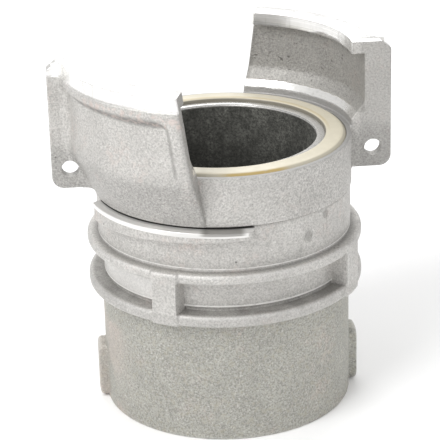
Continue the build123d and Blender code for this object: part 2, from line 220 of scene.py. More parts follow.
class StageSettings(bpy.types.PropertyGroup):
    """Camera and floor."""
    distance: FloatProperty(name="Distance", description="Camera's distance from its aim",
                            default=0.8431, unit="LENGTH")
    elevation: turn("Elevation", "Camera above the horizon", 21.97)
    yaw: turn("Yaw", "Camera round the object, from the front", -5.1)
    roll: turn("Roll", "Camera's roll", -1.53)
    lens: FloatProperty(name="Lens", description="Focal length", default=161.4, unit="CAMERA")
    aim_z: length("Aim", "Height that the camera looks at", 78.2)
    floor_size: FloatProperty(name="Floor", description="Side of the floor", default=6.0,
                              unit="LENGTH")
    sky: FloatProperty(name="Sky", description="Strength of the even light", default=0.68)
    key: FloatProperty(name="Key", description="Power of the light at the left", default=15.0)
    fill: FloatProperty(name="Fill", description="Power of the light at the right", default=2.2)
    behind: FloatProperty(name="Behind", description="Power of the light behind", default=9.0)


# ---- surfaces ------------------------------------------------------------------------------

def smooth_step(value, low, high):
    """0 below low and 1 above high, with the cubic 3t^2 - 2t^3 between them."""
    t = np.clip((value - low) / (high - low), 0.0, 1.0)
    return t * t * (3 - 2 * t)


def around(angle, centre, period=2 * math.pi):
    """Signed angle from the nearest of the centres that repeat every period."""
    return (angle - centre + period / 2) % period - period / 2


def even_angles(count):
    """Evenly spaced angles round the circle."""
    return np.arange(count) * 2 * math.pi / count


def close_angles(places, spread, count):
    """Even angles round the circle, with closer ones within spread of each place."""
    fine = np.linspace(-spread, spread, count)
    angles = [even_angles(AROUND)] + [(place + fine) % (2 * math.pi) for place in places]
    return np.unique(np.round(np.concatenate(angles), 7))


def soft_outline(corners, cuts, steps=4):
    """Closed outline with its corners rounded, each by a quadratic curve.

    corners is (n, d, m): n corners with d coordinates, at m stations. The curve of a corner C
    runs from A, which lies cut before C, to B, which lies cut after it, as
    (1-t)^2 A + 2t(1-t) C + t^2 B. A cut is at most 0.45 of the side that it shortens, and a
    corner whose cut is 0 stays one point.
    """
    cut = np.asarray(cuts, float)[:, None, None]

    def towards(other):
        side = other - corners
        size = np.linalg.norm(side, axis=1, keepdims=True)
        return corners + side / np.maximum(size, 1e-9) * np.minimum(cut, 0.45 * size)

    start, end = towards(np.roll(corners, 1, axis=0)), towards(np.roll(corners, -1, axis=0))
    t = np.linspace(0, 1, steps)[None, :, None, None]
    curve = (1 - t) ** 2 * start[:, None] + 2 * t * (1 - t) * corners[:, None] + t**2 * end[:, None]
    kept = (cut[:, 0, 0] > 0)[:, None] | (np.arange(steps) == 0)
    return curve[kept]


def grid_mesh(name, points, caps):
    """Mesh of a closed outline (n, m, 3) carried through m stations.

    Each face joins a point to the next one along the outline and to the same two at the next
    station. With caps, the first and the last outline are closed by a flat face; without, the
    last station joins the first. Doubles are merged and the faces turned outwards.
    """
    rows, columns = points.shape[:2]
    index = np.arange(rows * columns).reshape(rows, columns)
    along = np.roll(index, -1, axis=0)
    beside, across = np.roll(index, -1, axis=1), np.roll(along, -1, axis=1)
    faces = np.stack((index, beside, across, along), axis=-1)
    if caps:
        faces = faces[:, :-1]
    faces = faces.reshape(-1, 4).tolist()
    if caps:
        faces += [index[:, 0].tolist(), index[::-1, -1].tolist()]
    mesh = bpy.data.meshes.new(name)
    mesh.from_pydata(points.reshape(-1, 3), [], faces)
    work = bmesh.new()
    work.from_mesh(mesh)
    bmesh.ops.remove_doubles(work, verts=work.verts, dist=2e-6)
    bmesh.ops.recalc_face_normals(work, faces=work.faces)
    work.to_mesh(mesh)
    work.free()
    return mesh


def edge_rows(outline):
    """Closed outline (n, 2, m) with two more points on long sides, 1.2 mm from their ends."""
    side = np.roll(outline, -1, axis=0) - outline
    size = np.linalg.norm(side, axis=1, keepdims=True)
    share = np.minimum(1.2 * MM / np.maximum(size, 1e-9), 0.33)
    points = np.stack((outline, outline + share * side, outline + (1 - share) * side), axis=1)
    far = size[:, 0].mean(axis=-1) > 4 * MM
    return points[np.stack((np.ones_like(far), far, far), axis=1)]


def turned_mesh(name, outline, angles):
    """Closed mesh of an outline (n, 2, m) of radius and height, carried round Z.

    Point i at angle a is (r cos a, r sin a, z).
    """
    outline = edge_rows(outline)
    radius, height = outline[:, 0, :], outline[:, 1, :]
    points = np.stack((radius * np.cos(angles), radius * np.sin(angles),
                       np.broadcast_to(height, radius.shape)), axis=-1)
    return grid_mesh(name, points, caps=False)


def sharpen(mesh, limit=math.radians(32)):
    """Smooth shading, with the edges sharper than the limit kept crisp."""
    mesh.polygons.foreach_set("use_smooth", np.ones(len(mesh.polygons), bool))
    mesh.set_sharp_from_angle(angle=limit)


def add_object(name, data):
    """Object of that data in the scene."""
    thing = bpy.data.objects.new(name, data)
    bpy.context.scene.collection.objects.link(thing)
    return thing


def place_facing(data, name, place, direction):
    """Object of a light or a camera, at a place and facing a direction."""
    thing = add_object(name, data)
    thing.location = place
    thing.rotation_mode = "QUATERNION"
    thing.rotation_quaternion = direction.to_track_quat("-Z", "Y")
    return thing


def dress(mesh, node, body, material):
    """Shades a finished mesh, and has it stand for a CAD node and ride on its body."""
    sharpen(mesh)
    mesh.materials.append(material)
    piece = add_object(node + "_finish", mesh)
    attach(piece, body)
    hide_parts(node)


def stack(size, *corners):
    """Corners as (n, 2, size), from pairs of numbers or arrays."""
    return np.array([[np.broadcast_to(r, size), np.broadcast_to(z, size)] for r, z in corners])


def ring_surface(s):
    """Locking ring: its section's corners as functions of the angle a.

    The waist fills out to the ribs' radius over each boss, which stands a little proud of them,
    and a slot is sunk at its foot. The cam rim's radius is the barrel's outside its arc, and its
    bearing face climbs evenly along the arc: z = top - low + (low - high) t. The rim's nose is a
    quarter ellipse. A stop groove is sunk where the angle is within its quarter, with round ends
    of half width sqrt(h^2 - d^2) at a distance d past the quarter.
    """
    low, top = RING_LOW.z, RING_HIGH.z
    rib_r = RING_HIGH.x
    ends = [s.rim_start, s.rim_start + s.rim_arc]
    places = [end + half for end in ends for half in (0, math.pi)]
    boss_edge = math.asin(s.boss_w / (s.waist_r + rib_r))
    quarter = math.pi / 2
    places += [s.boss_angle + i * quarter + side * boss_edge for i in range(4) for side in (-1, 1)]
    angles = close_angles(places, math.radians(1.5), 19)
    size = len(angles)

    from_boss = np.abs(around(angles, s.boss_angle, quarter))
    half_steep = math.radians(0.7)
    boss = 1 - smooth_step(from_boss, boss_edge - half_steep, boss_edge + half_steep)
    rib = rib_r + s.boss_proud * boss
    waist = s.waist_r + (rib - s.waist_r) * boss

    along = (angles - s.rim_start) % math.pi
    t = np.clip(along / s.rim_arc, 0, 1)
    nose = np.clip((s.rim_arc - along) * s.rim_r / s.nose, 0, 1)
    rim = np.sqrt(1 - (1 - nose) ** 2) * smooth_step(along, 0.0, math.radians(0.5))
    rim_r = s.barrel_r + (s.rim_r - s.barrel_r) * rim
    cast_r = s.barrel_r + (s.rim_r - s.cast_set_in - s.barrel_r) * rim
    bearing = top - s.rim_low + (s.rim_low - s.rim_high) * t
    land = top - s.rim_drop - s.land_h

    pin_angle = math.atan2(PIN_LOW.y + PIN_HIGH.y, PIN_LOW.x + PIN_HIGH.x)
    past = np.abs(around(angles, pin_angle - quarter / 2, math.pi)) - quarter / 2
    past = np.maximum(past, 0) * s.pin_ring_r
    half_w = np.sqrt(np.maximum(s.groove_half_w**2 - past**2, 1e-12))
    floor = top - s.groove_depth * smooth_step(half_w, 0.0, 0.6 * MM)

    rib_z1 = low + s.skirt_h + s.low_rib_h
    rib_z2 = rib_z1 + s.rib_gap
    rib_z0 = low + s.skirt_h * (1 - 0.6 * boss)
    rib_z3 = rib_z2 + s.rib_h
    slot_z = rib_z1 + s.slot_h
    slot_r = waist - s.slot_in * (1 - boss)
    corners = stack(
        size, (s.bore_r, low), (s.waist_r, low), (s.waist_r, rib_z0), (rib, rib_z0),
        (rib, rib_z1), (slot_r, rib_z1), (slot_r, slot_z), (waist, slot_z), (waist, rib_z2),
        (rib, rib_z2), (rib, rib_z3), (s.barrel_r, rib_z3), (s.barrel_r, bearing),
        (cast_r, bearing), (cast_r, land), (rim_r, land), (rim_r, top - s.rim_drop),
        (s.barrel_r - 0.4 * MM, top),
        (s.pin_ring_r + half_w, top), (s.pin_ring_r + half_w, floor),
        (s.pin_ring_r - half_w, floor), (s.pin_ring_r - half_w, top), (s.bore_r, top),
    )
    edge, fillet, crisp = [s.rib_round] * 2, [0.9 * MM], [0.25 * MM]
    cuts = crisp * 3 + edge + crisp * 3 + fillet + edge + fillet * 2 + [0.7 * MM] + crisp * 9
    return turned_mesh("locking_ring_finish", soft_outline(corners, cuts, 5), angles)


def socket_surface(s):
    """Threaded socket: its section's corners as functions of the angle a.

    A lug stands out where the distance y = r sin(a) is under half its width, and its corners
    are circles. The thread is r = minor + depth w(p), with the phase p = z / pitch - a / 2 pi,
    a rounded wave w, and run-outs at both ends.
    """
    low, top = SOCKET_LOW.z, SOCKET_HIGH.z
    lug_r = SOCKET_HIGH.x
    half_w = s.lug_w / 2
    lug_edge = math.asin(s.lug_w / (s.barrel_r + lug_r))
    places = [side * lug_edge + half for half in (0, math.pi) for side in (-1, 1)]
    angles = close_angles(places, math.radians(3.0), 31)
    size = len(angles)

    from_lug = np.abs(around(angles, 0.0, math.pi))
    across = s.barrel_r * np.sin(np.minimum(from_lug, math.pi / 2))
    rise = 1 - smooth_step(across, half_w - 0.5 * MM, half_w + 0.5 * MM)
    into = np.clip(across - (half_w - s.lug_round), 0, s.lug_round)
    corner = s.lug_round - np.sqrt(s.lug_round**2 - into**2)
    lug = s.barrel_r + (lug_r - s.barrel_r) * rise

    z = np.linspace(low + s.mouth, low + s.thread_len, 110)[::-1, None]
    phase = z / s.thread_pitch - angles[None] / (2 * math.pi)
    wave = 0.5 - 0.5 * np.cos(2 * math.pi * phase)
    run_out = smooth_step(z, low + s.mouth, low + s.mouth + s.thread_pitch) * (
        1 - smooth_step(z, low + s.thread_len - 1.5 * s.thread_pitch, low + s.thread_len))
    thread_r = s.thread_r + s.thread_depth * wave * run_out
    thread = np.stack((thread_r, np.broadcast_to(z, thread_r.shape)), axis=1)

    tail_z = O_RING_HIGH.z
    seat_z = GASKET_HIGH.z
    bore_r = waterway_r()
    groove_r = bore_r + 1.4 * MM
    corners = stack(
        size, (s.thread_r + s.mouth, low), (s.barrel_r, low), (s.barrel_r, low + corner + s.edge),
        (lug, low + corner + s.edge), (lug, low + s.lug_h - corner),
        (s.barrel_r, low + s.lug_h - corner), (s.barrel_r, top), (s.tail_r, top),
        (s.tail_r, tail_z), (O_RING_HIGH.x, tail_z), (O_RING_HIGH.x, O_RING_LOW.z),
        (groove_r, O_RING_LOW.z), (groove_r, tail_z), (bore_r, tail_z), (bore_r, seat_z),
        (GASKET_HIGH.x, seat_z), (GASKET_HIGH.x, low + s.thread_len),
    )
    cuts = [0.3 * MM, s.edge, 0.9 * MM, s.lug_round, s.lug_round, 0.9 * MM, s.edge] + [CRISP] * 10
    outline = np.concatenate((soft_outline(corners, cuts, 4)[2:], thread), axis=0)
    return turned_mesh("threaded_socket_finish", outline, angles)


def vertex_places(mesh):
    """Places of a mesh's vertices, as (n, 3)."""
    places = np.empty(len(mesh.vertices) * 3)
    mesh.vertices.foreach_get("co", places)
    return places.reshape(-1, 3)


def waterway_r():
    """Radius of the waterway, which the gasket's own bore repeats."""
    x, y, _ = vertex_places(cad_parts["thread_gasket"].data).T
    return float(np.hypot(x, y).min())


def seal_surface():
    """Face seal: a crowned section with soft flanks, carried round Z.

    The crown lies up to a tenth of a millimetre low, by two slow sine waves round the ring, as
    in a moulded seal pressed into its groove by hand.
    """
    angles = even_angles(AROUND)
    inner, outer = SEAL_IN_R, SEAL_HIGH.x
    low, high = SEAL_LOW.z, SEAL_HIGH.z
    wave = 0.1 * MM * (0.5 + 0.3 * np.sin(3 * angles + 0.6) + 0.2 * np.sin(7 * angles))
    crown = high - np.abs(wave)
    corners = stack(
        AROUND, (inner, low), (outer, low), (outer, high - 1.6 * MM),
        (outer - 1.6 * MM, crown), (inner + 0.8 * MM, crown), (inner, high - 0.9 * MM),
    )
    cuts = [0.2 * MM, 0.2 * MM, 0.7 * MM, 1.2 * MM, 0.6 * MM, 0.4 * MM]
    return turned_mesh("face_seal_finish", soft_outline(corners, cuts, 6), angles)


def journal_surface(s):
    """Turned part of the head: waterway nose, seal groove, collar, journal and tail."""
    bore_r, groove_z = waterway_r(), SEAL_LOW.z
    nose_z = FACE_Z - s.nose_drop
    corners = stack(
        AROUND, (bore_r, HEAD_LOW.z), (s.tail_r, HEAD_LOW.z), (s.tail_r, SOCKET_HIGH.z),
        (s.journal_r, SOCKET_HIGH.z), (s.journal_r, COLLAR_Z), (s.collar_r, COLLAR_Z),
        (s.collar_r, FACE_Z), (SEAL_HIGH.x, FACE_Z), (SEAL_HIGH.x, groove_z),
        (s.seal_in_r, groove_z), (s.seal_in_r, nose_z), (bore_r, nose_z),
    )
    cuts = [CRISP] * 5 + [0.4 * MM, 0.6 * MM] + [CRISP] * 3 + [0.35 * MM, 0.5 * MM]
    return turned_mesh("journal", soft_outline(corners, cuts, 4), even_angles(AROUND))


def pocket_sink(z, from_end, s):
    """How far a point of a claw's outer face lies in the pocket, 0 to 1, and beside its post.

    The pocket's outline is a top edge and a side edge joined by a quarter round. The slope runs
    inwards from it: wide below the top, and widest near the corner, but narrow beside the post.
    """
    down = CLAW_TOP_Z - s.pocket_top - z
    inwards = from_end - s.post_w
    corner = s.pocket_corner
    beyond = np.hypot(np.maximum(corner - down, 0), np.maximum(corner - inwards, 0))
    inside = np.where((down < corner) & (inwards < corner), corner - beyond,
                      np.minimum(down, inwards))
    beside = smooth_step(down - inwards, -3 * MM, 3 * MM)
    below_top = s.pocket_slope * (0.75 + 0.25 * smooth_step(-inwards, -50 * MM, -6 * MM))
    slope = below_top + (s.post_slope - below_top) * beside
    return smooth_step(inside, -0.3 * MM, slope), beside


def end_angle(radius, z, back, s):
    """Angle of a claw's free end: A - asin(((z - middle) tan(lean) + back) / r)."""
    return s.claw_angle - np.arcsin(((z - CLAW_MIDDLE_Z) * math.tan(s.lean) + back) / radius)


def claw_painted_shade(mesh, s):
    """Painted shade of the cast skin at each vertex of the head, 0 to 1, kept as the attribute
    "shade".

    It is 4 k (1 - k) on the pocket's slopes, which face down away from the light, with k how far a
    point lies in the pocket; it also paints shade on a claw's free end, less towards the bottom.
    """
    x, y, z = vertex_places(mesh).T
    side = np.where(y < 0, -1.0, 1.0)
    radius = np.hypot(x, y)
    angle = np.arctan2(y * side, x * side)
    from_end = (end_angle(np.maximum(radius, 0.04), z, 0.0, s) - angle) * radius
    sink, beside = pocket_sink(z, from_end, s)
    outside = (smooth_step(radius, 61.5 * MM, 62.5 * MM) * smooth_step(z, FACE_Z, FACE_Z + 6 * MM)
               * smooth_step(np.abs(y), 14 * MM, 26 * MM))
    slope = 4 * sink * (1 - sink) * (1 - 0.5 * beside) * outside
    on_claw = smooth_step(radius, s.collar_r + 0.2 * MM, s.collar_r + 0.6 * MM)
    low_down = 0.3 + 0.7 * smooth_step(z, FACE_Z - 8 * MM, FACE_Z + 5 * MM)
    free_end = smooth_step(-from_end, -2.6 * MM, -0.5 * MM) * on_claw * low_down * 0.45
    shade = np.clip(np.maximum(slope, free_end), 0, 1)
    layer = mesh.attributes.new("shade", "FLOAT", "POINT")
    layer.data.foreach_set("value", shade.astype(np.float32))


def outer_radius(z, from_end, s):
    """Outer radius of a claw at a height and at a distance along it from its free end.

    The flank climbs from the foot to the knee, and from there the wall leans outwards to the
    turned band; a soft minimum -k log(e^(-a/k) + e^(-b/k)) joins them. The pocket takes the wall
    down to its floor's radius, over a slope, inside a rounded frame.
    """
    knee_z, band_z = FACE_Z + s.knee_h, CLAW_TOP_Z - s.band_h
    flank = s.foot_r + (z - COLLAR_Z - s.foot_h) * (s.knee_r - s.foot_r) / (
        knee_z - COLLAR_Z - s.foot_h)
    wall = s.knee_r + (z - knee_z) * (s.wall_r - s.knee_r) / (band_z - knee_z)
    k = 0.35 * MM
    low = np.minimum(flank, wall)
    radius = low - k * np.log(np.exp(-(flank - low) / k) + np.exp(-(wall - low) / k))

    sink, _ = pocket_sink(z, from_end, s)
    radius = radius - np.maximum(radius - s.floor_r, 0) * sink
    band = smooth_step(z, band_z - 0.25 * MM, band_z + 0.05 * MM)
    return radius + (s.band_r - radius) * band


def drawn_in(x, z, amount, smooth_rows=0):
    """A closed outline drawn in by an amount, corners mitred.

    A point moves by -amount (n + m) / (1 + n.m), with n and m the unit normals of its two sides.
    The first smooth_rows points, which rise, move along the normal of the chord that spans
    2.4 mm of their height instead, so a small step in them keeps its form.
    """
    dx, dz = np.roll(x, -1) - x, np.roll(z, -1) - z
    size = np.maximum(np.hypot(dx, dz), 1e-9)
    nx, nz = dz / size, -dx / size
    mx, mz = np.roll(nx, 1), np.roll(nz, 1)
    share = np.maximum(1 + nx * mx + nz * mz, 0.5)
    move_x, move_z = (nx + mx) / share, (nz + mz) / share
    if smooth_rows:
        own = slice(1, smooth_rows - 1)
        reach = 1.2 * MM
        low = np.clip(z[own] - reach, z[0], None)
        high = np.clip(z[own] + reach, None, z[smooth_rows - 1])
        rise = high - low
        run = (np.interp(high, z[:smooth_rows], x[:smooth_rows])
               - np.interp(low, z[:smooth_rows], x[:smooth_rows]))
        size = np.hypot(rise, run)
        move_x[own], move_z[own] = rise / size, -run / size
    return x - amount * move_x, z - amount * move_z


def claw_surface(s):
    """One claw with its ear, as a closed outline carried from the ear to the free end.

    The outline's inner corners are turned radii: root, seat, shoulder, recess and lip. Its outer
    rows have set heights. From the ear's end face to its inner face a row runs along +Y on the
    ear's own outline; then it crosses the inner face towards the axis, turns through a concave
    quarter round into the claw's outer face, and follows that to the free end, where a point at
    radius r ends at the angle A - asin(((z - middle) tan(lean) + back) / r). Both end outlines
    are drawn in by a rounding.
    """
    ear_low = COLLAR_Z + s.ear_z0
    pocket_z, band_z = CLAW_TOP_Z - s.pocket_top, CLAW_TOP_Z - s.band_h
    levels = (COLLAR_Z + s.foot_h, ear_low, ear_low + s.ear_corner, FACE_Z - MM, FACE_Z + 3 * MM,
              pocket_z - 6 * MM, pocket_z + MM, band_z - 0.3 * MM, band_z + 0.1 * MM, CLAW_TOP_Z)
    counts = (4, 24, 14, 12, 20, 22, 8, 5, 8)
    rows = [np.linspace(*ends, count)[:-1]
            for *ends, count in zip(levels[:-1], levels[1:], counts)]
    rows = np.concatenate((*rows, [CLAW_TOP_Z]))
    inner = np.array([
        (s.lip_r, CLAW_TOP_Z), (s.lip_r, CLAW_TOP_Z - s.lip_h), (s.recess_r, CLAW_TOP_Z - s.lip_h),
        (s.recess_r, FACE_Z + s.seat_h + s.shoulder_h), (s.seat_r, FACE_Z + s.seat_h),
        (s.seat_r, FACE_Z), (s.root_r, FACE_Z - MM), (s.root_r, COLLAR_Z + 0.2 * MM),
        (s.foot_r - 0.4 * MM, COLLAR_Z),
    ])
    inner_cuts = [0.35, 0.3, 0.5, 1.6, 0.5, 0.3, 0, 0, 0.2]
    cuts = np.concatenate((np.zeros(len(rows)), np.array(inner_cuts) * MM))
    cuts[len(rows) - 1] = 0.35 * MM

    ear_x, ear_z = ear_outline(rows, ear_low, s)
    on_ear = rows >= ear_low - 1e-9
    out_x, out_z = np.gradient(ear_z), -np.gradient(ear_x)
    size = np.maximum(np.hypot(out_x, out_z), 1e-9)
    out_x, out_z = out_x / size, out_z / size

    plain = outer_radius(rows, MID_CLAW, s)
    blend = s.ear_blend
    far_y = s.ear_t + blend
    turn_x = np.sqrt(plain**2 - far_y**2)
    turn_x = np.where(on_ear, turn_x + blend, turn_x)

    def station(x, y, z, inner_y, amount=0.0):
        """Points of one station before the free stretch."""
        x = np.concatenate((np.broadcast_to(x, rows.shape), inner[:, 0]))
        y = np.concatenate((np.broadcast_to(y, rows.shape), np.full(len(inner), inner_y)))
        z = np.concatenate((np.broadcast_to(z, rows.shape), inner[:, 1]))
        turned = np.ones(len(x), bool)
        turned[:len(rows)] = ~on_ear
        if amount:
            x, z = drawn_in(x, z, amount)
        return np.stack((np.where(turned, np.sqrt(np.maximum(x**2 - y**2, 0)), x), y, z), axis=-1)

    soft = s.edge
    flat_x = np.where(on_ear, ear_x, plain)
    flat_z = np.where(on_ear, ear_z, rows)
    stations = [station(flat_x, y * soft, flat_z, y * soft, amount * soft)
                for y, amount in ROUNDING]
    for along in np.linspace(0.2, 1, 5):
        y = soft + (s.ear_t - 2 * soft) * along
        stations.append(station(flat_x, y, flat_z, y))
    for y, amount in reversed(ROUNDING[:-1]):
        x = flat_x - np.where(on_ear, out_x * amount * soft, 0)
        z = flat_z - np.where(on_ear, out_z * amount * soft, 0)
        stations.append(station(x, s.ear_t - y * soft, z, s.ear_t - y * soft))
    edge_x, edge_z = x, z
    for share in np.linspace(0, 1, 9)[1:]:
        x = edge_x + (turn_x - edge_x) * share
        z = edge_z + (rows - edge_z) * share
        y = s.ear_t + 0.02 * MM * share
        x = np.where(on_ear, x, plain)
        stations.append(station(x, y, z, y))
    for angle in np.linspace(0, math.pi / 2, 8)[1:]:
        x = turn_x - blend * math.sin(angle)
        y = far_y - blend * math.cos(angle)
        x = np.where(on_ear, x, plain)
        stations.append(station(x, y, rows, y))

    shares = np.unique(np.concatenate((np.linspace(0, 1, 90), np.linspace(0.84, 1, 40))))[1:]
    steps = [(share, 1.0, 0.0) for share in shares]
    steps += [(1.0, back, amount) for back, amount in reversed(ROUNDING[:-1])]
    for share, back, amount in steps:
        reach = end_angle(s.band_r, rows, back * soft, s)
        start = np.arcsin(far_y / plain)
        angle = start + (reach - start) * share
        from_end = (end_angle(s.band_r, rows, 0.0, s) - angle) * s.band_r
        radius = np.concatenate((outer_radius(rows, from_end, s), inner[:, 0]))
        height = np.concatenate((rows, inner[:, 1]))
        if amount:
            radius, height = drawn_in(radius, height, amount * soft, len(rows))
        start = np.arcsin(far_y / radius)
        angle = start + (end_angle(radius, height, back * soft, s) - start) * share
        stations.append(np.stack((radius * np.cos(angle), radius * np.sin(angle), height), axis=-1))

    corners = np.array(stations).transpose(1, 2, 0)
    points = soft_outline(corners, cuts, 4).transpose(0, 2, 1)
    return grid_mesh("claw", points, caps=True)


def ear_outline(rows, low, s):
    """Outline of the ear for each row: bottom edge, rounded corner, side and top chamfer.

    The rows of the corner's height share the bottom edge and the quarter round evenly.
    """
    ear_r, corner = HEAD_HIGH.x, s.ear_corner
    root_x = outer_radius(np.array(low), MID_CLAW, s)
    t = np.clip((rows - low) / corner, 0, 1) * 2
    bottom = root_x + (ear_r - corner - root_x) * np.clip(t, 0, 1)
    swing = np.clip(t - 1, 0, 1) * math.pi / 2
    x = np.where(t < 1, bottom, ear_r - corner + corner * np.sin(swing))
    z = np.where(t < 1, low, low + corner - corner * np.cos(swing))
    z = np.where(rows > low + corner, rows, z)
    over = np.maximum(rows - (CLAW_TOP_Z - s.chamfer_h), 0) / s.chamfer_h
    return x - s.chamfer_w * over, z


def head_surface(s):
    """Claw head: the turned part and two claws in one mesh, with the ears' holes bored.

    The second claw is the first one turned half round Z.
    """
    claw = claw_surface(s)
    turned_claw = claw.copy()
    turned_claw.vertices.foreach_set("co", (vertex_places(claw) * (-1, -1, 1)).ravel())
    blank = add_object("head_blank", journal_surface(s))
    helpers = []
    angle = even_angles(48)
    hole_x, hole_z = HEAD_HIGH.x - s.hole_edge, COLLAR_Z + s.ear_z0 + s.hole_h
    reach = np.array([(0, -2 * s.ear_t, 0), (0, 2 * s.ear_t, 0)])
    for side, shell in ((1, claw), (-1, turned_claw)):
        ring = np.stack((side * hole_x + s.hole_r * np.cos(angle), np.zeros(48),
                         hole_z + s.hole_r * np.sin(angle)), axis=-1)
        drill = grid_mesh("drill", ring[:, None] + reach[None], caps=True)
        for mesh, operation in ((shell, "UNION"), (drill, "DIFFERENCE")):
            helpers.append(add_object("helper", mesh))
            step = blank.modifiers.new(operation, "BOOLEAN")
            step.operation = operation
            step.solver = "EXACT"
            step.object = helpers[-1]
    bpy.context.view_layer.update()
    graph = bpy.context.evaluated_depsgraph_get()
    mesh = bpy.data.meshes.new_from_object(blank.evaluated_get(graph))
    mesh.name = "claw_head_finish"
    for helper in (*helpers, blank):
        bpy.data.objects.remove(helper)
    mesh.materials.clear()
    claw_painted_shade(mesh, s)
    return mesh


# ---- materials -----------------------------------------------------------------------------

class Graph:
    """A material's node tree, built a node at a time. Lengths inside are millimetres."""

    def __init__(self, name):
        self.material = bpy.data.materials.new(name)
        self.material.use_nodes = True
        self.tree = self.material.node_tree
        self.tree.nodes.clear()
        self.shader = self.node("BsdfPrincipled")
        self.node("OutputMaterial", {"Surface": self.shader.outputs["BSDF"]})
        place = self.node("TexCoord").outputs["Object"]
        self.place = self.node("Mapping", {"Vector": place, "Scale": (1 / MM,) * 3}).outputs[0]
        self.x, self.y, self.z = self.node("SeparateXYZ", {0: self.place}).outputs
        self.r = self.math("SQRT", self.plus(self.every(self.x, self.x),
                                             self.every(self.y, self.y)))

    def node(self, kind, inputs=None, **settings):
        """A node of that kind, with its settings, and its inputs linked or set."""
        node = self.tree.nodes.new("ShaderNode" + kind)
        for name, value in settings.items():
            setattr(node, name, value)
        for name, value in (inputs or {}).items():
            self.put(node.inputs[name], value)
        return node

    def put(self, socket, value):
        """Links a socket, or sets its value."""
        if isinstance(value, bpy.types.NodeSocket):
            self.tree.links.new(value, socket)
        elif hasattr(value, "__len__"):
            socket.default_value = (*value, 1.0)[:len(socket.default_value)]
        else:
            socket.default_value = value

    def math(self, operation, *values):
        """One Math node."""
        return self.node("Math", dict(enumerate(values)), operation=operation).outputs[0]

    def plus(self, a, b):
        """Sum."""
        return self.math("ADD", a, b)

    def minus(self, a, b):
        """Difference."""
        return self.math("SUBTRACT", a, b)

    def every(self, *factors):
        """Product of factors."""
        return functools.reduce(lambda a, b: self.math("MULTIPLY", a, b), factors)

    def most(self, *factors):
        """Largest of the factors."""
        return functools.reduce(lambda a, b: self.math("MAXIMUM", a, b), factors)

    def step(self, value, low, high, to_low=0.0, to_high=1.0):
        """Smooth ramp of a value from low to high."""
        inputs = {"Value": value, "From Min": low, "From Max": high, "To Min": to_low,
                  "To Max": to_high}
        return self.node("MapRange", inputs, interpolation_type="SMOOTHSTEP").outputs["Result"]

    def at_r(self, low, high):
        """Ramp of the radius round Z."""
        return self.step(self.r, low, high)

    def at_z(self, low, high, *ends):
        """Ramp of the height."""
        return self.step(self.z, low, high, *ends)

    def band(self, value, low, high, soft=0.15):
        """1 between low and high, with soft edges."""
        rising = self.step(value, low - soft, low + soft)
        return self.every(rising, self.step(value, high - soft, high + soft, 1.0, 0.0))

    def noise(self, size, detail=3.0, rough=0.55, stretch=None, seed=0.0):
        """Noise whose features measure about size millimetres."""
        place = self.place
        if stretch is not None:
            place = self.node("Mapping", {"Vector": place, "Scale": stretch}).outputs["Vector"]
        inputs = {"W": seed, "Scale": 1.0 / size, "Detail": detail, "Roughness": rough,
                  "Vector": place}
        return self.node("TexNoise", inputs, noise_dimensions="4D").outputs[0]

    def patches(self, size, low, high, detail=3.0, rough=0.6, stretch=None, seed=0.0):
        """Patches of that size, 0 to 1, by a smooth ramp of noise from low to high."""
        return self.step(self.noise(size, detail, rough, stretch, seed), low, high)

    def pits(self, size, seed=0.0):
        """Cell distance of a pattern of cells that measure about size millimetres."""
        inputs = {"W": seed, "Scale": 1.0 / size, "Vector": self.place}
        return self.node("TexVoronoi", inputs, voronoi_dimensions="4D").outputs["Distance"]

    def tool_marks(self, pitch, seed=0.0):
        """Fine grooves of a turning tool, on flat faces and cylinders alike."""
        place = self.node("CombineXYZ", {0: self.r, 1: self.z, 2: seed}).outputs[0]
        inputs = {"Scale": 1.0 / pitch, "Detail": 2.0, "Vector": place}
        return self.node("TexNoise", inputs).outputs[0]

    def blend(self, factor, under, over, kind="MIX"):
        """One colour Mix node."""
        return self.node("Mix", {0: factor, 6: under, 7: over}, data_type="RGBA",
                         blend_type=kind).outputs[2]

    def lay(self, cover, amount, under, over):
        """A colour laid over another by a share of its cover."""
        return self.blend(self.every(cover, amount), under, over)

    def attribute(self, name):
        """A number that the mesh keeps at its vertices."""
        return self.node("Attribute", attribute_name=name).outputs["Fac"]

    def heading(self):
        """Angle from the front towards +X, in radians."""
        return self.math("ARCTAN2", self.x, self.every(self.y, -1.0))

    def rim_arc(self):
        """1 in the two arcs of the cam rims, at the ring's rest."""
        slant = self.math("ARCTANGENT", self.math("DIVIDE", self.x, self.every(self.y, -1.0)))
        return self.band(slant, -1.30, 0.13, 0.02)

    def edge_wear(self):
        """1 along outward edges, from the mesh's pointiness."""
        return self.step(self.node("NewGeometry").outputs["Pointiness"], 0.51, 0.56)

    def bump(self, height, distance, strength=1.0, below=None):
        """Bump of that height in millimetres, over the normal below."""
        inputs = {"Height": height, "Distance": distance * MM, "Strength": strength}
        if below is not None:
            inputs["Normal"] = below
        return self.node("Bump", inputs).outputs["Normal"]

    def finish(self, **inputs):
        """Sets the shader's inputs, by name with spaces as underscores."""
        for name, value in inputs.items():
            self.put(self.shader.inputs[name.replace("_", " ")], value)
        return self.material


def scaled(colour, factor):
    """A colour made darker or lighter by a factor."""
    return tuple(factor * v for v in colour)


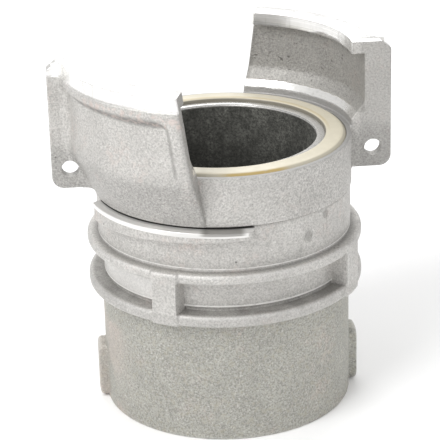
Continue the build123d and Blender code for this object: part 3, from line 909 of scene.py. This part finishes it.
def cast_colour(g, c, base, seed, grain_depth=0.56):
    """Colour of a blasted casting: cloudy tone, rosy tint, smudges, grain, painted glints and
    specks.
    """
    cloud = g.noise(13, 2, 0.5, seed=seed + 1)
    tone = g.blend(g.step(cloud, 0.34, 0.66), scaled(base, 0.92), base)
    tint = g.every(g.patches(17, 0.52, 0.66, seed=seed + 2),
                   g.patches(2.2, 0.42, 0.62, 2, 0.6, seed=seed + 3))
    tone = g.lay(tint, 0.35, tone, c.rose)
    grain = g.patches(0.8, 0.36, 0.60, 2, 0.7, seed=seed + 4)
    tone = g.lay(g.minus(1.0, grain), grain_depth, tone, scaled(base, 0.50))
    # painted glints: small spots lightened towards the turned colour
    painted_glint = g.patches(0.85, 0.56, 0.68, 2, 0.6, seed=seed + 5)
    tone = g.lay(painted_glint, 0.3, tone, c.turned)
    patch = g.patches(15, 0.46, 0.60, seed=seed + 6)
    speck = g.every(g.step(g.pits(3.6, seed + 7), 0.17, 0.08), patch)
    return g.lay(speck, 0.75, tone, scaled(c.cast_dark, 0.45))


def cast_relief(g, seed, smooth):
    """Relief of a blasted casting: broad waves, coarse grain and a few pits, as a normal.

    The grain and the pits stay off the smooth faces.
    """
    cover = g.minus(1.0, smooth)
    waves = g.bump(g.noise(8.0, 2, 0.5, seed=seed), 0.5, 0.7)
    grain = g.every(g.noise(0.9, 3, 0.7, seed=seed + 1), cover)
    rough = g.bump(grain, 0.40, 0.9, waves)
    pit = g.every(g.step(g.pits(3.6, seed + 2), 0.0, 0.14), cover)
    return g.bump(pit, 0.10, 0.8, rough)


def turned_over(g, bright, rough, polish, normal, marks):
    """Roughness and normal of a casting whose bright faces have been turned."""
    rough = g.plus(g.every(rough, g.minus(1.0, bright)), g.every(bright, polish))
    return rough, g.bump(g.every(marks, bright), 0.02, 0.8, normal)


def head_finish(c, s):
    """Blasted casting with turned faces, a dark recess behind the lips and a rough bore; painted
    shade in that recess, on the pocket slopes, the free ends, the lower flank, the ears' end faces,
    the seal rim, the seat and the collar seam.
    """
    g = Graph("cast_head_blasted")
    top, face, collar = CLAW_TOP_Z / MM, FACE_Z / MM, COLLAR_Z / MM
    band_low = top - s.band_h / MM
    collar_r, lip_r, recess_r = s.collar_r / MM, s.lip_r / MM, s.recess_r / MM
    band_r, seal_in, seal_out = s.band_r / MM, s.seal_in_r / MM, SEAL_HIGH.x / MM
    waver = g.every(g.minus(g.noise(6, 2, 0.5), 0.5), 0.9)
    z = g.plus(g.z, waver)
    across = g.math("ABSOLUTE", g.y)
    off_ear = g.step(across, 7.0, 12.0)
    top_face = g.at_z(top - 0.35, top - 0.15)
    band_edge = g.plus(g.z, g.every(waver, 0.7))
    outer_band = g.every(g.at_r(band_r - 0.9, band_r - 0.6),
                         g.step(band_edge, band_low - 0.9, band_low + 0.5),
                         g.step(across, 1.2, 3.6))
    ragged = g.every(g.band(across, 15.0, 34.0, 5.0),
                     g.step(g.noise(5.0, 2, 0.5, seed=16), 0.3, 0.6, 0.7, 1.0))
    lip = g.every(g.at_r(lip_r + 0.6, lip_r + 0.2),
                  g.step(g.minus(g.z, g.every(ragged, 2.2)), top - 6.2, top - 5.6))
    foot = g.every(g.band(z, face + 2.6, face + 5.6, 0.25), g.at_r(recess_r + 0.5, recess_r - 0.3),
                   off_ear, g.at_r(collar_r + 0.3, collar_r + 0.5))
    seat = g.every(g.band(g.z, face - 0.7, face + 2.6, 0.1),
                   g.at_r(collar_r + 1.7, collar_r + 1.1), g.at_r(collar_r - 0.1, collar_r + 0.2))
    nose = g.every(g.at_r(seal_in + 0.5, seal_in + 0.1), g.at_z(face - 1.6, face - 1.2))
    bright = g.most(top_face, outer_band, lip, foot, nose)
    inside = g.every(g.at_r(recess_r + 0.4, recess_r), g.at_r(collar_r - 0.3, collar_r + 0.2),
                     g.at_z(face + 5.2, face + 6.2), g.at_z(top - 4.8, top - 5.4))
    bore = g.every(g.at_r(40.6, 40.2), g.at_z(face - 1.4, face - 2.2))
    rim = g.every(g.at_r(seal_out - 0.4, seal_out - 0.1), g.at_r(collar_r - 0.1, collar_r - 0.3),
                  g.at_z(face - 0.6, face - 0.3))
    flank = g.every(g.at_r(collar_r + 0.3, collar_r + 0.7), g.at_z(face + 3.5, face - 4.0))

    tone = cast_colour(g, c, c.cast, 0.0)
    # painted shade: the lower flank, which faces down, is darkened to 0.88
    tone = g.blend(flank, tone, (0.88, 0.88, 0.88), "MULTIPLY")
    fine = g.every(g.patches(0.75, 0.44, 0.58, 2, 0.7, seed=19),
                   g.most(flank, g.every(g.step(g.x, 0.0, 30.0), g.at_r(55.2, 54.8))),
                   0.34)
    tone = g.blend(fine, tone, (0.45, 0.45, 0.45), "MULTIPLY")
    # painted shade: the attribute darkens the pocket's slopes and the claws' free ends towards a
    # dark cast colour
    tone = g.lay(g.attribute("shade"), 0.78, tone, scaled(c.cast, 0.30))
    below_band = g.every(g.at_r(63.6, 64.4), g.band(g.z, band_low - 7.0, band_low - 1.2, 0.8),
                         g.patches(2.4, 0.46, 0.60, 3, 0.65, seed=15),
                         g.step(across, 22.0, 36.0))
    tone = g.lay(below_band, 0.45, tone, c.rose)
    # painted shade: the recess behind the lips is darkened with a patchy dark cast colour
    recess_shade_tone = g.blend(g.patches(1.0, 0.38, 0.62, 3, 0.7, seed=11), scaled(c.cast_dark, 0.45),
                    scaled(c.cast_dark, 1.15))
    tone = g.lay(inside, 0.41, tone, recess_shade_tone)
    fleck = g.every(inside, g.patches(2.6, 0.62, 0.68, 3, 0.7, (1, 1, 1.8), seed=17.0))
    tone = g.lay(fleck, 0.7, tone, scaled(c.cast_dark, 0.3))
    # painted shade: the ears' end faces in the plane y = 0 are darkened
    ear_face_shade = g.every(g.step(across, 0.6, 0.3), g.at_r(58.0, 60.0))
    tone = g.lay(ear_face_shade, 0.28, tone, scaled(c.cast, 0.35))
    marks = g.tool_marks(0.22)
    streaks = g.patches(1.4, 0.50, 0.72, stretch=(1, 1, 0.15), seed=12.0)
    streaky = g.blend(g.step(marks, 0.35, 0.65), scaled(c.turned, 0.82), c.turned)
    streaky = g.lay(streaks, 0.3, streaky, c.cast_dark)
    tone = g.blend(bright, tone, streaky)
    # painted shade: the metal rim round the seal and the seat wall below the lips are darkened
    # towards a dim turned colour
    rim_and_seat_shade = g.most(rim, g.every(seat, 0.8))
    tone = g.lay(rim_and_seat_shade, 0.9, tone, scaled(c.turned, 0.46))
    mottle = g.patches(5.0, 0.34, 0.66, 3, 0.65, (1, 1, 0.45), seed=13.0)
    crust = g.patches(0.9, 0.36, 0.62, 3, 0.75, seed=14)
    lit = g.every(g.step(g.x, -34.0, 12.0, 0.55, 1.0),
                 g.at_z(face - 34.0, face - 8.0, 0.55, 1.0))
    bore_tone = g.blend(mottle, scaled(c.bore, 0.75), scaled(c.bore, 1.35))
    bore_tone = g.lay(crust, 0.8, bore_tone, scaled(c.bore, 0.3))
    bore_tone = g.blend(lit, scaled(c.bore, 0.3), bore_tone)
    tone = g.blend(bore, tone, bore_tone)
    # painted shade: a dark line at the collar's lower edge, in the seam over the ring's rim arcs
    under = g.every(g.at_r(collar_r - 0.9, collar_r - 0.5), g.at_z(collar + 0.45, collar + 0.15),
                    g.rim_arc())
    tone = g.blend(under, tone, scaled(c.cast_dark, 0.12))

    rough = g.plus(0.50, g.every(g.noise(9, 3, 0.5, seed=7), 0.16))
    rough, normal = turned_over(g, bright, rough, 0.26, cast_relief(g, 2.0, bright), marks)
    rough = g.most(rough, g.every(bore, 0.75))
    return g.finish(Base_Color=tone, Metallic=0.72, Roughness=rough, Normal=normal)


def ring_finish(c, s):
    """Blasted ring casting with smudges, small pits and a turned land round the cam rims, painted
    shade on the lower rib, the ribs' ledges, the slot and the seam, painted highlights at the feet
    of waist and barrel, and painted light on the waist's left side.
    """
    g = Graph("cast_ring_blasted")
    waist_r, barrel_r, rim_r = s.waist_r / MM, s.barrel_r / MM, s.rim_r / MM
    rib_r = RING_HIGH.x / MM
    rim_top = (RING_HIGH.z - s.rim_drop) / MM
    land_low = rim_top - s.land_h / MM
    waist_low = (RING_LOW.z + s.skirt_h + s.low_rib_h) / MM
    slot_z = waist_low + s.slot_h / MM
    rib_top = waist_low + (s.rib_gap + s.rib_h) / MM
    bright = g.most(
        g.every(g.at_r(rim_r - 0.28, rim_r - 0.12),
                g.at_z(land_low - 0.1, land_low + 0.1)),
        g.every(g.at_r(54.2, 54.6), g.at_z(rim_top - 0.2, rim_top)),
    )
    tone = cast_colour(g, c, c.ring, 20.0)
    # dark patches, on the +x side of the ring only
    dark_patches_right = g.every(g.step(g.x, 8.0, 30.0),
                    g.patches(4.5, 0.60, 0.70, stretch=(1, 1, 0.8), seed=28.0))
    tone = g.lay(dark_patches_right, 0.35, tone, scaled(c.cast_dark, 0.7))
    tone = g.lay(g.edge_wear(), 0.35, tone, c.turned)
    marks = g.tool_marks(0.2, 4.0)
    heading = g.heading()
    stain = g.every(g.band(heading, -0.25, 0.05, 0.03), g.at_z(land_low + 0.7, land_low + 1.0))
    haze = g.band(heading, -0.55, -0.15, 0.16)
    streaky = g.lay(haze, 0.2, scaled(c.turned, 0.86), c.cast_dark)
    streaky = g.lay(stain, 0.72, streaky, scaled(c.cast_dark, 0.6))
    tone = g.blend(bright, tone, streaky)
    patchy = g.step(g.noise(7.0, 3, 0.6, (1, 1, 2.5), 29.0), 0.36, 0.62, 0.55, 1.0)
    # painted shade: the lower rib and the skirt below it are darkened in patches
    low_rib = g.every(g.at_z(waist_low + 0.5, waist_low - 0.6), patchy)
    tone = g.lay(low_rib, 0.22, tone, scaled(c.ring, 0.42))
    # painted light: the waist between the ribs is lightened towards the turned colour on its left
    # side
    waist = g.every(g.at_r(waist_r + 0.6, waist_r + 0.2),
                    g.band(g.z, slot_z, rib_top - 5.0, 0.3), g.band(heading, -1.45, -0.55, 0.2))
    tone = g.lay(waist, 0.42, tone, c.turned)
    # painted shade: the slot at the waist's foot and the ledges on top of both ribs are darkened
    slot = g.every(g.at_r(waist_r - 0.1, waist_r - 0.4),
                   g.band(g.z, waist_low - 0.3, slot_z, 0.1))
    ledge_low = g.every(g.band(g.z, waist_low - 0.9, waist_low + 0.1, 0.2),
                        g.at_r(rib_r - 0.9, rib_r - 2.6))
    ledge_top = g.every(g.band(g.z, rib_top - 0.9, rib_top + 0.8, 0.2),
                        g.at_r(rib_r - 0.8, barrel_r + 0.3),
                        g.at_r(barrel_r, barrel_r + 0.15))
    ledge_shade = g.most(g.every(slot, patchy, 0.35), g.every(ledge_low, patchy, 0.55),
                  g.every(ledge_top, 0.55))
    tone = g.blend(ledge_shade, tone, scaled(c.cast_dark, 0.4))
    # painted highlights: broken bright lines at the waist's foot, above the slot, and at the
    # barrel's foot, above the upper rib
    foot_highlight = g.most(
        g.every(g.band(g.z, slot_z + 0.05, slot_z + 0.85, 0.1),
                g.band(g.r, waist_r - 0.3, waist_r + 0.3, 0.05)),
        g.every(g.band(g.z, rib_top + 0.95, rib_top + 1.35, 0.1),
                g.at_r(barrel_r + 0.3, barrel_r + 0.2)),
    )
    broken = g.step(g.noise(5.0, 2, 0.6, seed=30), 0.26, 0.44, 0.35, 1.0)
    tone = g.blend(g.every(foot_highlight, broken, 0.8), tone, scaled(c.turned, 1.05))
    for angle, height, reach in ((0.60, 86.4, 2.3), (0.79, 92.9, 1.9), (0.52, 81.5, 0.9)):
        dx = g.minus(g.x, barrel_r * math.sin(angle))
        dy = g.plus(g.y, barrel_r * math.cos(angle))
        dz = g.every(g.minus(g.z, height), 0.9)
        gap = g.math("SQRT", g.plus(g.every(dx, dx), g.plus(g.every(dy, dy), g.every(dz, dz))))
        gap = g.plus(gap, g.every(g.noise(1.8, 3, 0.7, seed=31), 2.6))
        smudge = g.step(gap, reach + 1.7, reach + 0.7)
        tone = g.lay(smudge, 0.42, tone, scaled(c.cast_dark, 0.6))
    # painted shade: the ring's top edge is darkened in the seam under the head, along the rim arcs
    seam_shade = g.every(g.at_r(barrel_r + 0.9, barrel_r + 0.6), g.at_r(53.3, 53.6),
                   g.at_z(rim_top - 0.3, rim_top), g.rim_arc())
    tone = g.lay(seam_shade, 0.95, tone, scaled(c.cast_dark, 0.12))
    rough = g.plus(0.48, g.every(g.noise(8, 3, 0.5, seed=27), 0.18))
    rough, normal = turned_over(g, bright, rough, 0.3, cast_relief(g, 22.0, bright), marks)
    return g.finish(Base_Color=tone, Metallic=0.72, Roughness=rough, Normal=normal)


def socket_finish(c):
    """Sandy grained casting, with a cleaner cut thread inside."""
    g = Graph("cast_socket_sandy")
    tone = cast_colour(g, c, c.socket, 40.0, 0.7)
    warm = g.patches(1.9, 0.5, 0.66, seed=49)
    tone = g.lay(warm, 0.35, tone, (0.46, 0.43, 0.34))
    rosy = g.every(g.step(g.every(g.x, -1.0), 40.0, 52.0),
                   g.patches(16, 0.35, 0.6, 2, 0.5, seed=43))
    tone = g.lay(rosy, 0.25, tone, c.rose)
    thread = g.at_r(46.0, 45.0)
    tone = g.lay(thread, 0.6, tone, scaled(c.turned, 0.8))
    tone = g.lay(g.edge_wear(), 0.3, tone, c.turned)
    rough = g.plus(0.54, g.every(g.noise(3, 3, 0.6, seed=44), 0.18))
    normal = cast_relief(g, 45.0, thread)
    return g.finish(Base_Color=tone, Metallic=0.66, Roughness=rough, Normal=normal)


def seal_finish(c):
    """Cream moulded seal: tan outer flank, golden stain at the front, tan inner edge behind, and a
    painted shade line in the gap at its inner edge.
    """
    g = Graph("seal_cream_moulded")
    outer = g.at_r(50.5, 51.3)
    cloud = g.patches(6, 0.35, 0.65, seed=61)
    golden = g.every(g.band(g.heading(), -0.08, 0.42, 0.08), g.patches(4, 0.30, 0.46, seed=62))
    tone = g.lay(cloud, 0.3, c.seal, scaled(c.seal, 0.84))
    flank = g.blend(golden, scaled(c.seal, 0.62), c.seal_tan)
    tone = g.lay(outer, 0.85, tone, flank)
    behind = g.every(g.band(g.r, 44.1, 45.5, 0.3), g.step(g.y, -12.0, 10.0))
    tone = g.lay(behind, 0.3, tone, scaled(c.seal_tan, 1.2))
    # painted shade: a dark line in the gap between the seal and the inner nose
    seam_shade = g.at_r(43.9, 43.6)
    tone = g.lay(seam_shade, 0.85, tone, (0.10, 0.09, 0.07))
    rough = g.plus(0.42, g.every(cloud, 0.12))
    normal = g.bump(g.noise(1.2, 3, 0.6, seed=63), 0.06, 0.6)
    return g.finish(Base_Color=tone, Roughness=rough, Normal=normal, Coat_Weight=0.15)


def rubber_finish(c):
    """Black rubber with a faint bloom."""
    g = Graph("black_rubber_plain")
    bloom = g.patches(3, 0.4, 0.7, seed=71)
    tone = g.lay(bloom, 0.3, c.rubber, (0.06, 0.06, 0.06))
    normal = g.bump(g.noise(0.6, 3, 0.6, seed=72), 0.05, 0.6)
    return g.finish(Base_Color=tone, Roughness=0.6, Normal=normal)


def steel_finish(c):
    """Ground steel of the stop pins."""
    g = Graph("pin_steel_ground")
    marks = g.tool_marks(0.15, 8.0)
    tone = g.blend(g.step(marks, 0.3, 0.7), c.steel, scaled(c.steel, 1.3))
    normal = g.bump(marks, 0.02, 0.5)
    return g.finish(Base_Color=tone, Metallic=1.0, Roughness=0.28, Normal=normal)


def floor_finish(c):
    """Pale matt floor with hardly any grain."""
    g = Graph("floor_pale")
    tone = g.lay(g.noise(60, 2, 0.5, seed=90), 0.02, c.floor, scaled(c.floor, 0.97))
    return g.finish(Base_Color=tone, Roughness=0.75)


# ---- operators -----------------------------------------------------------------------------

class COUPLING_OT_head(bpy.types.Operator):
    """Cast head with its claws, ears and turned faces"""
    bl_idname = "coupling.head"
    bl_label = "Claw head"

    def execute(self, context):
        scene = context.scene
        dress(head_surface(scene.coupling_head), "claw_head", "body",
              head_finish(scene.coupling_finish, scene.coupling_head))
        return {"FINISHED"}


class COUPLING_OT_ring(bpy.types.Operator):
    """Locking ring with its ribs, bosses, cam rims and stop grooves"""
    bl_idname = "coupling.ring"
    bl_label = "Locking ring"

    def execute(self, context):
        scene = context.scene
        dress(ring_surface(scene.coupling_ring), "locking_ring", "ring",
              ring_finish(scene.coupling_finish, scene.coupling_ring))
        return {"FINISHED"}


class COUPLING_OT_socket(bpy.types.Operator):
    """Socket with its lugs and female thread"""
    bl_idname = "coupling.socket"
    bl_label = "Threaded socket"

    def execute(self, context):
        scene = context.scene
        dress(socket_surface(scene.coupling_socket), "threaded_socket", "body",
              socket_finish(scene.coupling_finish))
        return {"FINISHED"}


class COUPLING_OT_seal(bpy.types.Operator):
    """Cream face seal"""
    bl_idname = "coupling.seal"
    bl_label = "Face seal"

    def execute(self, context):
        dress(seal_surface(), "face_seal", "body",
              seal_finish(context.scene.coupling_finish))
        return {"FINISHED"}


class COUPLING_OT_hidden(bpy.types.Operator):
    """Finishes of the O-ring, the gasket and the stop pins"""
    bl_idname = "coupling.hidden"
    bl_label = "Hidden pieces"

    def execute(self, context):
        finish = context.scene.coupling_finish
        hidden = ((rubber_finish(finish), ("joint_o_ring", "thread_gasket")),
                  (steel_finish(finish), ("stop_pin_1", "stop_pin_2")))
        for material, nodes in hidden:
            for node in nodes:
                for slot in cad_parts[node].material_slots:
                    slot.material = material
        return {"FINISHED"}


class COUPLING_OT_stage(bpy.types.Operator):
    """Pale floor, soft light and the camera"""
    bl_idname = "coupling.stage"
    bl_label = "Stage"

    def execute(self, context):
        scene = context.scene
        s = scene.coupling_stage
        half = s.floor_size / 2
        mesh = bpy.data.meshes.new("floor")
        mesh.from_pydata([(-half, -half, 0), (half, -half, 0), (half, half, 0), (-half, half, 0)],
                         [], [(0, 1, 2, 3)])
        floor = add_object("floor", mesh)
        floor.location.z = CAD_BOX[0].z - FLOOR_GAP
        mesh.materials.append(floor_finish(scene.coupling_finish))

        world = bpy.data.worlds.new("studio")
        world.use_nodes = True
        background = world.node_tree.nodes["Background"]
        background.inputs["Color"].default_value = (1, 1, 1, 1)
        background.inputs["Strength"].default_value = s.sky
        scene.world = world

        middle = Vector((0, 0, s.aim_z))
        for name, place, size, power in (("key", (-0.85, -0.7, 1.15), 0.8, s.key),
                                         ("fill", (1.1, -0.7, 0.7), 0.8, s.fill),
                                         ("back", (0.1, 1.2, 1.1), 1.2, s.behind)):
            light = bpy.data.lights.new(name, "AREA")
            light.size = size
            light.energy = power
            place_facing(light, name, Vector(place), middle - Vector(place))

        camera = bpy.data.cameras.new("camera")
        camera.lens = s.lens
        camera.sensor_width = 36.0
        camera.shift_x, camera.shift_y = CAMERA_SHIFT
        camera.clip_start = 0.05
        level = s.distance * math.cos(s.elevation)
        back = Vector((level * math.sin(s.yaw), -level * math.cos(s.yaw),
                       s.distance * math.sin(s.elevation)))
        holder = place_facing(camera, "camera", middle + back, -back)
        holder.rotation_quaternion @= Quaternion((0, 0, 1), s.roll)
        scene.camera = holder
        scene.view_settings.view_transform = "Standard"
        return {"FINISHED"}


class COUPLING_PT_panel(bpy.types.Panel):
    """Lists the coupling's steps and settings"""
    bl_label = "Coupling"
    bl_idname = "COUPLING_PT_panel"
    bl_space_type = "VIEW_3D"
    bl_region_type = "UI"
    bl_category = "Coupling"

    def draw(self, context):
        for step in STEPS:
            self.layout.operator(step.bl_idname)
        for name in SETTINGS:
            box = self.layout.box()
            group = getattr(context.scene, name)
            for field in group.__annotations__:
                box.prop(group, field)


SETTINGS = {
    "coupling_ring": RingSettings,
    "coupling_socket": SocketSettings,
    "coupling_head": HeadSettings,
    "coupling_finish": FinishSettings,
    "coupling_stage": StageSettings,
}
STEPS = (COUPLING_OT_head, COUPLING_OT_ring, COUPLING_OT_socket, COUPLING_OT_seal,
         COUPLING_OT_hidden, COUPLING_OT_stage)


def register():
    """Registers the classes and hangs the settings on the scene."""
    for kind in (*SETTINGS.values(), *STEPS, COUPLING_PT_panel):
        bpy.utils.register_class(kind)
    for name, kind in SETTINGS.items():
        setattr(bpy.types.Scene, name, PointerProperty(type=kind))


def unregister():
    """Takes the settings and classes away again."""
    for name in SETTINGS:
        delattr(bpy.types.Scene, name)
    for kind in reversed((*SETTINGS.values(), *STEPS, COUPLING_PT_panel)):
        bpy.utils.unregister_class(kind)


def main():
    """Builds every piece and the stage."""
    register()
    for step in STEPS:
        group, name = step.bl_idname.split(".")
        getattr(getattr(bpy.ops, group), name)()


if __name__ == "__main__":
    main()
